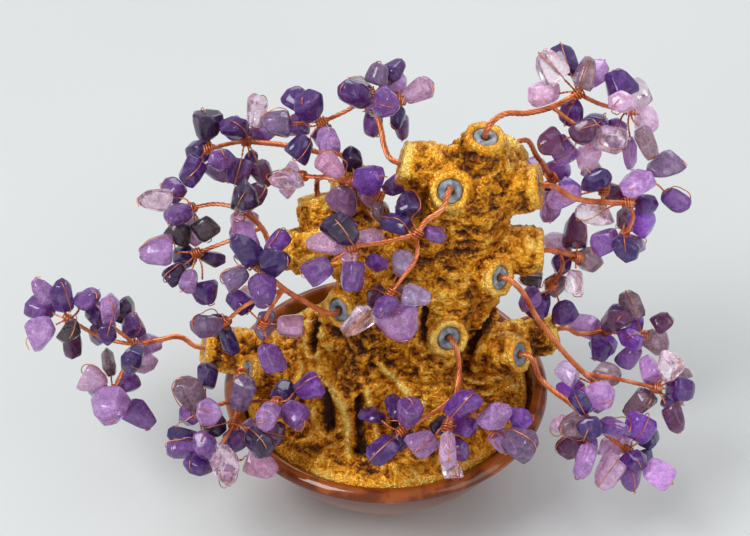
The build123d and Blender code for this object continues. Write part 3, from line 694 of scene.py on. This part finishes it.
def tumbled_amethyst():
    """Polished amethyst: each chip has its own colour and clearness, cloudy zones and inner cracks."""
    finish, bench, surface = new_finish("tumbled_amethyst", (0.2, 0.1, 0.35), 0.0, 0.1)
    tone = bench.add("ShaderNodeAttribute", {"attribute_name": "chip_tone"})
    clouds = grain(bench, 230.0, 3.0, 1.5)
    bands = grain(bench, 520.0, 2.0, 2.5)
    cloud = bench.add("ShaderNodeMapRange", Value=clouds, i1=0.46, i2=0.70, i3=0.0, i4=0.55).outputs[0]
    own = tone.outputs["Color"]
    screened = {"data_type": "RGBA", "blend_type": "SCREEN"}
    light = bench.add("ShaderNodeMix", screened, i0=1.0, i6=own, i7=(0.16, 0.12, 0.20, 1))
    blended = {"data_type": "RGBA", "blend_type": "MIX"}
    paler = bench.add("ShaderNodeMix", blended, i0=cloud, i6=own, i7=light.outputs[2])
    dark = bench.add("ShaderNodeMapRange", Value=bands, i1=0.35, i2=0.62, i3=0.64, i4=1.1).outputs[0]
    shade = bench.add("ShaderNodeVectorMath", {"operation": "SCALE"}, Vector=paler.outputs[2], Scale=dark)
    redder = (1.16, 0.90, 1.02)
    warm = bench.add("ShaderNodeVectorMath", {"operation": "MULTIPLY"}, i0=shade.outputs["Vector"], i1=redder)
    bench.give(surface, "Base Color", warm.outputs["Vector"])
    clear = bench.maths("MINIMUM", bench.maths("MULTIPLY", tone.outputs["Alpha"], 1.15), 0.85)
    clear = bench.maths("MULTIPLY", clear, bench.maths("SUBTRACT", 1.1, cloud))
    bench.give(surface, "Transmission Weight", clear)
    bench.give(surface, "IOR", 1.54)
    bump(bench, surface, grain(bench, 800.0, 2.0), 0.1, 0.0003)
    return finish


def grey_putty():
    """Blue-grey putty, smoothed by a finger."""
    finish, bench, surface = new_finish("grey_putty", (0.2, 0.24, 0.28), 0.0, 0.62)
    patches = grain(bench, 500.0, 4.0, 0.5)
    colour = ramp(bench, patches, [(0.3, (0.10, 0.13, 0.16)), (0.5, (0.24, 0.29, 0.34)), (0.7, (0.50, 0.54, 0.58))])
    bench.give(surface, "Base Color", colour)
    bump(bench, surface, patches, 0.6, 0.0006)
    return finish


def amber_glaze():
    """Amber glaze that runs thin and orange at the lip and thick and dark below it, painted lighter towards the foot
    as a reflection of the floor.
    """
    finish, bench, surface = new_finish("amber_glaze", (0.2, 0.04, 0.01), 0.0, 0.09)
    place = bench.add("ShaderNodeTexCoord").outputs["Object"]
    height = bench.add("ShaderNodeSeparateXYZ", Vector=place).outputs["Z"]
    streak = bench.add("ShaderNodeMapping", Vector=place, Scale=(1, 1, 0.25))
    runs = bench.add("ShaderNodeTexNoise", Vector=streak.outputs["Vector"], Scale=130.0, Detail=4.0, Distortion=0.6)
    level = bench.add("ShaderNodeMapRange", Value=height, i1=0.0, i2=0.036, i3=0.0, i4=1.0).outputs[0]
    level = bench.maths("ADD", level, bench.swing(runs.outputs[0], 0.35))
    # From the foot up: lighter orange low on the body as a painted reflection of the floor, darkest a little below
    # the lip, thin orange glaze at the lip.
    colour = ramp(
        bench,
        level,
        [
            (0.0, (0.34, 0.070, 0.010)),
            (0.35, (0.28, 0.046, 0.005)),
            (0.70, (0.150, 0.020, 0.002)),
            (0.84, (0.060, 0.008, 0.001)),
            (0.95, (0.16, 0.028, 0.003)),
            (1.0, (0.34, 0.080, 0.010)),
        ],
    )
    bench.give(surface, "Base Color", colour)
    bench.give(surface, "IOR", 1.38)
    bench.give(surface, "Coat Weight", 0.35)
    bench.give(surface, "Coat Roughness", 0.04)
    bump(bench, surface, grain(bench, 90.0, 2.0), 0.08, 0.001)
    return finish


def cast_plaster():
    """Off-white plaster with pores."""
    finish, bench, surface = new_finish("cast_plaster", (0.7, 0.66, 0.58), 0.0, 0.85)
    pores = grain(bench, 600.0, 4.0)
    colour = ramp(bench, pores, [(0.3, (0.52, 0.48, 0.41)), (0.6, (0.72, 0.69, 0.62))])
    bench.give(surface, "Base Color", colour)
    bump(bench, surface, pores, 0.4, 0.0004)
    return finish


gold = gold_paint()
copper = copper_wire()
amethyst = tumbled_amethyst()
putty = grey_putty()
glaze = amber_glaze()
plaster = cast_plaster()
twist = twist_tree()
bark = bark_tree()


# The sprays.


def line_curve(name, lines, smooth=True):
    """Return a curve object that runs through lists of points in metres."""
    data = bpy.data.curves.new(name, "CURVE")
    data.dimensions = "3D"
    for points in lines:
        if smooth:
            spline = data.splines.new("BEZIER")
            spline.bezier_points.add(len(points) - 1)
            for knot, point in zip(spline.bezier_points, points):
                knot.co = point
                knot.handle_left_type = "AUTO"
                knot.handle_right_type = "AUTO"
        else:
            spline = data.splines.new("POLY")
            spline.points.add(len(points) - 1)
            for knot, point in zip(spline.points, points):
                knot.co = (*point, 1)
    return new_object(name, data)


def wire_runs(name):
    """Return each run of a spray's wire as points in metres, the first from its pivot."""
    mouth, out = socket_of(name)
    pivot = (mouth - out * pivot_drop) * millimetre
    runs = []
    for run in route_pixels_and_shares[name]:
        points = [sight(place) * millimetre for place in run[1:]]
        if not runs:
            runs.append([pivot, (mouth + out * straight_exit) * millimetre] + points)
        else:
            runs.append([runs[0][run[0] + 1]] + points)
    return runs


def aside_of(way):
    """Return two directions square to a direction."""
    first = way.cross(Vector((0, 0, 1)) if abs(way.z) < 0.9 else Vector((1, 0, 0))).normalized()
    return first, way.cross(first).normalized()


def winding(middle, way, chance):
    """Return the line of a wire wound a few turns round a knot."""
    first, second = aside_of(way)
    turns = 4.2
    count = 60
    knot_length = 3.1
    core_radius = 1.25
    bulge = 0.28
    unevenness = 0.08
    points = []
    for step in range(count):
        share = step / (count - 1)
        angle = 2 * pi * turns * share + chance.random() * unevenness
        reach = (core_radius + bulge * sin(pi * share)) * millimetre
        place = middle + way * ((share - 0.5) * knot_length * millimetre)
        points.append(place + (first * cos(angle) + second * sin(angle)) * reach)
    return points


def joined(name, parts):
    """Join mesh objects into one."""
    build = bmesh.new()
    materials = list(parts[0].data.materials)
    for part in parts:
        build.from_mesh(part.data)
        bpy.data.objects.remove(part)
    mesh = mesh_of(build, name)
    for material in materials:
        mesh.materials.append(material)
    return new_object(name, mesh)


def make_stem(name, chance):
    """Make a spray's twisted stem, its branches and the wire wound round each knot."""
    runs = wire_runs(name)
    main = {"Strands": 5, "Strand radius": 0.00034, "Coil radius": 0.00050, "Lay": 0.0085, "Step": 0.0006, "Sides": 7}
    side = {"Strands": 4, "Strand radius": 0.00029, "Coil radius": 0.00036, "Lay": 0.0070, "Step": 0.0006, "Sides": 6}
    wound = {"Strands": 1, "Strand radius": 0.00026, "Coil radius": 0.0, "Lay": 0.01, "Step": 0.0005, "Sides": 6}
    parts = [shaped(line_curve(name + "_main", [runs[0]]), twist, main, copper)]
    if len(runs) > 1:
        parts.append(shaped(line_curve(name + "_side", runs[1:]), twist, side, copper))
    windings = []
    for run in runs:
        windings.append(winding(run[-1], (run[-1] - run[-2]).normalized(), chance))
    parts.append(shaped(line_curve(name + "_wound", windings, smooth=False), twist, wound, copper))
    piece = joined(name + "_twisted_stem", parts)
    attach(piece, name)
    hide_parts(name + "_stem")
    return [run[-1] for run in runs]


def ends_of(points, knots):
    """Return the knot that a twig starts from, and its outer end."""
    middle = sum(points, Vector()) / len(points)
    first = max(points, key=lambda point: (point - middle).length)
    second = max(points, key=lambda point: (point - first).length)
    nearest = min(knots, key=lambda knot: min((knot - first).length, (knot - second).length))
    return nearest, max(first, second, key=lambda end: (end - nearest).length)


def worn_chip(points, way, chance, most):
    """Return a chip's points made wider, flatter or tapered, as tumbling leaves them, about its own middle."""
    narrowest = 0.8 * most
    thinnest = 0.95
    thickest = 0.86 * most
    least_taper = 0.08
    most_taper = 0.38
    most_lean = 0.22
    stretch = 1.04
    dents_per_metre = 230
    dent_depth = 0.0008
    middle = sum(points, Vector()) / len(points)
    first, second = aside_of(way)
    turn = chance.uniform(0, pi)
    wide = first * cos(turn) + second * sin(turn)
    flat = way.cross(wide)
    half = max(abs((point - middle).dot(way)) for point in points)
    broad = chance.uniform(narrowest, most)
    thick = chance.uniform(thinnest, thickest)
    taper = chance.choice((-1, 1)) * chance.uniform(least_taper, most_taper)
    lean = chance.uniform(-most_lean, most_lean)
    shift = Vector((chance.uniform(0, 9), chance.uniform(0, 9), chance.uniform(0, 9)))
    worn = []
    for point in points:
        away = point - middle
        along = away.dot(way)
        swell = 1 + taper * along / half
        across = away.dot(wide) * broad * swell + along * lean
        deep = away.dot(flat) * thick * swell
        place = middle + way * (along * stretch) + wide * across + flat * deep
        dent = noise.noise(point * dents_per_metre + shift) * dent_depth
        worn.append(place + (place - middle).normalized() * dent)
    return worn


def match_chips(twigs, chips, chance, most):
    """Return each twig with the chip that it carries."""
    twig_past_middle = 0.0045
    pairs = []
    left = list(chips)
    for knot, outer in twigs:
        way = (outer - knot).normalized()

        def miss(points):
            middle = sum(points, Vector()) / len(points)
            along = (middle - knot).dot(way)
            return (middle - knot - way * along).length + abs((outer - middle).length - twig_past_middle) * 0.3

        chip = min(left, key=miss)
        left.remove(chip)
        pairs.append((knot, outer, worn_chip(chip, way, chance, most)))
    return pairs


def make_twigs(name, pairs, chance):
    """Make the thin twisted pairs to the chips, and the loop of wire over each chip."""
    stalk_gap = 0.0004
    most_sway = 0.0007
    loop_gap = 0.0001
    first_lean = 82
    lean_step = 27
    stalks = []
    loops = []
    for knot, outer, points in pairs:
        middle = sum(points, Vector()) / len(points)
        way = (outer - knot).normalized()
        first, second = aside_of(way)
        low = min((point - middle).dot(way) for point in points)
        high = max((point - middle).dot(way) for point in points)
        near_end = middle + way * (low - stalk_gap)
        sway = (first * chance.uniform(-1, 1) + second * chance.uniform(-1, 1)) * most_sway
        stalks.append([knot, knot.lerp(near_end, 0.5) + sway, near_end])
        turn = chance.uniform(0, 2 * pi)
        side = first * cos(turn) + second * sin(turn)
        to_eye = (eye * millimetre - middle).normalized()
        whole = chance.random() < 0.5
        if whole and chance.random() < 0.5 and abs(to_eye.dot(way)) < 0.9:
            side = (to_eye - way * to_eye.dot(way)).normalized()
            side = (side + way.cross(side) * chance.uniform(-0.9, 0.9)).normalized()
        loop = [middle + way * (high - 2 * loop_gap)]
        for step in range(7 if whole else 2):
            lean = radians(first_lean - step * lean_step)
            ray = way * sin(lean) + side * cos(lean)
            reach = max((point - middle).dot(ray) for point in points)
            loop.append(middle + ray * (reach + loop_gap))
        if whole:
            loop.append(near_end - way * (2 * stalk_gap))
        loops.append(loop)
    pair = {"Strands": 2, "Strand radius": 0.00017, "Coil radius": 0.00018, "Lay": 0.0021, "Step": 0.0004, "Sides": 5}
    single = {"Strands": 1, "Strand radius": 0.00016, "Coil radius": 0.0, "Lay": 0.01, "Step": 0.0008, "Sides": 5}
    parts = [
        shaped(line_curve(name + "_stalks", stalks), twist, pair, copper),
        shaped(line_curve(name + "_loops", loops), twist, single, copper),
    ]
    piece = joined(name + "_thin_wires", parts)
    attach(piece, name)
    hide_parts(name + "_wires")


def tone_of(places, middle, chance):
    """Return a chip's colour by a place in the photograph that is still free, or by chance where it is hidden."""
    most_pixels_off = 9
    across, down = pixel_of(middle)
    for place in places:
        if sqrt((place[0] - across) ** 2 + (place[1] - down) ** 2) < most_pixels_off:
            places.remove(place)
            return stone_colours[place[2]]
    return stone_colours[chance.choice(hidden_tones)]


def make_chips(name, pairs, chance):
    """Make a spray's tumbled chips: each a worn, uneven stone over its CAD solid."""
    flat_angle = radians(9)
    edge_width = 0.0008
    build = bmesh.new()
    layer = build.verts.layers.float_color.new("chip_tone")
    places = list(chip_tones[name])
    # The chips nearest the camera come first, so that a tone goes to the chip that shows.
    for knot, outer, points in sorted(pairs, key=lambda pair: pair[1].dot(look)):
        middle = sum(points, Vector()) / len(points)
        chip = bmesh.new()
        for point in points:
            chip.verts.new(point)
        hull = bmesh.ops.convex_hull(chip, input=chip.verts)
        spare = {item for item in hull["geom_interior"] + hull["geom_unused"] if isinstance(item, bmesh.types.BMVert)}
        bmesh.ops.delete(chip, geom=list(spare), context="VERTS")
        bmesh.ops.dissolve_limit(chip, angle_limit=flat_angle, verts=chip.verts, edges=chip.edges)
        bmesh.ops.bevel(
            chip,
            geom=list(chip.edges),
            offset=edge_width,
            segments=1,
            affect="EDGES",
            profile=0.6,
            clamp_overlap=True,
        )
        bmesh.ops.recalc_face_normals(chip, faces=chip.faces)
        colour = tone_of(places, middle, chance)
        shade = chance.uniform(0.85, 1.15) * (pale_lift if name in pale_sprays else plain_lift)
        mapping = {}
        for vert in chip.verts:
            copy = build.verts.new(vert.co)
            copy[layer] = (*(part * shade + least for part, least in zip(colour, deepest_tone)), colour[3])
            mapping[vert] = copy
        for face in chip.faces:
            build.faces.new([mapping[vert] for vert in face.verts]).smooth = True
        chip.free()
    source = new_object(name + "_chip_source", mesh_of(build, name + "_chips"))
    round_off = source.modifiers.new("Round", "SUBSURF")
    round_off.levels = 1
    round_off.render_levels = 1
    piece = plain_mesh(source, name + "_chips")
    piece.data.materials.clear()
    piece.data.materials.append(amethyst)
    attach(piece, name)
    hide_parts(name + "_stones")


first_seed = 40
for number, name in enumerate(mouth_pixels_and_shares):
    chance = random.Random(first_seed + number)
    knots = make_stem(name, chance)
    twigs = [ends_of(points, knots) for points in solids_of(name + "_wires")]
    most_broad = slim_chips if name in tight_sprays else full_chips
    pairs = match_chips(twigs, solids_of(name + "_stones"), chance, most_broad)
    make_twigs(name, pairs, chance)
    make_chips(name, pairs, chance)


# The casting, its putty and the bowl.


def socket_shares(mesh):
    """Return for each point of the casting how freely it may be worked: nothing in a bore, little on a rim."""
    edge_share = 0.15
    edge_fade = 4
    rim_share = 0.12
    farthest = 20
    sockets = []
    for name, share in stub_foot_shares.items():
        mouth, out = socket_of(name)
        sockets.append((mouth, out, stub_radius * share[4] + rim_margin))
    shares = []
    for vert in mesh.vertices:
        point = vert.co / millimetre
        share = 1.0
        across = sqrt(point.x * point.x + point.y * point.y)
        if point.z < ground_top:
            share = min(share, max(edge_share, (ground_radius - across) / edge_fade))
        for mouth, out, widest in sockets:
            away = point - mouth
            if away.length_squared > farthest * farthest:
                continue
            along = away.dot(out)
            aside = (away - out * along).length
            if along > -bore_depth and aside < bore_radius:
                share = 0.0
            elif along > -rim_depth and aside < widest:
                share = min(share, rim_share)
        shares.append(share)
    return shares


def line_miss(pixel, line):
    """Return how many pixels a pixel lies from a line of pixels."""
    least = float("inf")
    for (left, top), (right, bottom) in zip(line, line[1:]):
        run, drop = right - left, bottom - top
        share = ((pixel[0] - left) * run + (pixel[1] - top) * drop) / (run * run + drop * drop)
        share = min(1.0, max(0.0, share))
        miss = sqrt((pixel[0] - left - share * run) ** 2 + (pixel[1] - top - share * drop) ** 2)
        least = min(least, miss)
    return least


def carvings(mesh):
    """Return how far each point of the trunk is raised, for a root, or sunk, for a hollow, in metres."""
    least_facing = 0.15
    lowest = 0.034
    widest_miss = 2.2
    depths = []
    for vert in mesh.vertices:
        depth = 0.0
        facing = -vert.normal.dot(look)
        if facing > least_facing and vert.co.z > lowest:
            pixel = pixel_of(vert.co)
            for width, height, line in root_ridges:
                miss = line_miss(pixel, line) / width
                if miss < widest_miss:
                    slope = (1 - miss * miss) / (1 + miss * miss * miss * miss)
                    depth += height * slope * min(1, facing * 2)
        depths.append(depth * millimetre)
    return depths


def make_casting():
    """Make the gold trunk, its limbs and its ground, with bark worked into them."""
    fine_skin = 0.00080
    source = merged_copy("trunk_source", "trunk_casting")
    skin = source.modifiers.new("Skin", "REMESH")
    skin.mode = "VOXEL"
    skin.voxel_size = fine_skin
    soft = source.modifiers.new("Soften", "SMOOTH")
    soft.iterations = 3
    soft.factor = 0.5
    piece = plain_mesh(source, "gold_trunk")
    shares = socket_shares(piece.data)
    work = piece.data.attributes.new("work", "FLOAT", "POINT")
    work.data.foreach_set("value", shares)
    carved = piece.data.attributes.new("carved", "FLOAT", "POINT")
    carved.data.foreach_set("value", carvings(piece.data))
    piece = shaped(piece, bark, {}, gold)
    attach(piece, "base")
    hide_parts("trunk_casting")


def make_bowl():
    """Dress the bowl in glaze over a smooth copy of its turned shape."""
    piece = merged_copy("glazed_bowl", "pot")
    piece.data.materials.append(glaze)
    piece.data.shade_smooth()
    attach(piece, "base")
    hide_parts("pot")


def make_putty():
    """Make the putty plugs: each fills its socket, smeared up to the wire."""
    build = bmesh.new()
    shares = []
    sides = 40
    for number, name in enumerate(mouth_pixels_and_shares):
        mouth, out = socket_of(name)
        first, second = aside_of(out)
        # Each ring's reach, its height past the mouth and how lumpy it is: the plug, its top and the hole in it.
        rings = [(0.0, -plug_depth, 0), (plug_radius, -plug_depth, 0), (plug_radius, -1.0, 0.2)]
        rings += [(3.3 - step * 0.21, -0.85 + 0.25 * sin(pi * step / 9), 1.0) for step in range(1, 9)]
        rings += [(1.32, -0.92, 0.3), (hole_radius, -1.2, 0), (hole_radius, -hole_depth, 0), (0.0, -hole_depth, 0)]
        loops = []
        for reach, along, share in rings:
            loop = []
            for side in range(sides if reach else 1):
                angle = 2 * pi * side / sides
                wave = 1 + 0.03 * share * sin(3 * angle + number)
                place = mouth + out * along + (first * cos(angle) + second * sin(angle)) * (reach * wave)
                loop.append(build.verts.new(place * millimetre))
                shares.append(share)
            loops.append(loop)
        for lower, upper in zip(loops, loops[1:]):
            for side in range(sides):
                quad = [lower[side % len(lower)], lower[(side + 1) % len(lower)]]
                quad += [upper[(side + 1) % len(upper)], upper[side % len(upper)]]
                build.faces.new(list(dict.fromkeys(quad)))
    bmesh.ops.recalc_face_normals(build, faces=build.faces)
    mesh = mesh_of(build, "putty_plugs")
    work = mesh.attributes.new("work", "FLOAT", "POINT")
    work.data.foreach_set("value", [share * 0.5 for share in shares])
    lumps = {
        "Furrow depth": 0.0004,
        "Furrows per metre": 260.0,
        "Wrinkle depth": 0.0,
        "Dent depth": 0.0006,
        "Dents per metre": 380.0,
        "Stretch": 1.0,
    }
    piece = shaped(new_object("putty_plugs", mesh), bark, lumps, putty)
    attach(piece, "base")
    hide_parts("socket_putty")


def dress_node(node, finish):
    """Give a CAD node's object its finish."""
    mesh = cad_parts[node].data
    mesh.materials.clear()
    mesh.materials.append(finish)


make_casting()
make_bowl()
make_putty()
dress_node("plaster_bed", plaster)
dress_node("wire_roots", copper)
for name in mouth_pixels_and_shares:
    for ending, finish in (("_stem", copper), ("_wires", copper), ("_stones", amethyst)):
        dress_node(name + ending, finish)
for node, finish in (("trunk_casting", gold), ("pot", glaze), ("socket_putty", putty)):
    dress_node(node, finish)


# The studio: a pale floor, soft light and the photograph's camera.


def make_floor():
    """Make the pale floor."""
    mesh = bpy.data.meshes.new("pale_floor")
    reach = 3.0
    corners = [(-reach, -reach, 0), (reach, -reach, 0), (reach, reach, 0), (-reach, reach, 0)]
    mesh.from_pydata(corners, [], [(0, 1, 2, 3)])
    floor = new_object("pale_floor", mesh)
    finish, bench, surface = new_finish("pale_paper", (0.70, 0.72, 0.71), 0.0, 0.9)
    patches = grain(bench, 3.0, 2.0)
    colour = ramp(bench, patches, [(0.3, (0.66, 0.68, 0.68)), (0.7, (0.72, 0.74, 0.73))])
    bench.give(surface, "Base Color", colour)
    mesh.materials.append(finish)


def make_lamp(name, place, aim_at, size, power):
    """Hang a soft square lamp, places in metres."""
    data = bpy.data.lights.new(name, "AREA")
    data.shape = "SQUARE"
    data.size = size
    data.energy = power
    lamp = new_object(name, data)
    lamp.location = place
    lamp.rotation_euler = (Vector(aim_at) - Vector(place)).to_track_quat("-Z", "Y").to_euler()


def make_world():
    """Set an even pale surround."""
    world = bpy.data.worlds.new("pale_surround")
    scene.world = world
    world.use_nodes = True
    bench = Bench(world.node_tree)
    background = world.node_tree.nodes["Background"]
    bench.give(background, "Color", (0.86, 0.88, 0.90, 1))
    bench.give(background, "Strength", 0.62)


def make_camera():
    """Stand the camera where the photograph was taken from."""
    data = bpy.data.cameras.new("photo_camera")
    data.sensor_width = 36.0
    data.lens = focal_pixels / photo_width * data.sensor_width
    data.clip_start = 0.01
    camera = new_object("photo_camera", data)
    camera.location = eye * millimetre
    camera.rotation_euler = look.to_track_quat("-Z", "Y").to_euler()
    scene.camera = camera


make_floor()
make_world()
tree_middle = (0, 0, 0.07)
make_lamp("key_lamp", (-0.55, -0.35, 0.95), tree_middle, 0.5, 6.5)
make_lamp("fill_lamp", (0.8, -0.5, 0.6), tree_middle, 0.7, 2.2)
make_lamp("back_lamp", (0.2, 0.9, 0.7), tree_middle, 0.6, 3.0)
make_camera()
scene.view_settings.view_transform = "Standard"
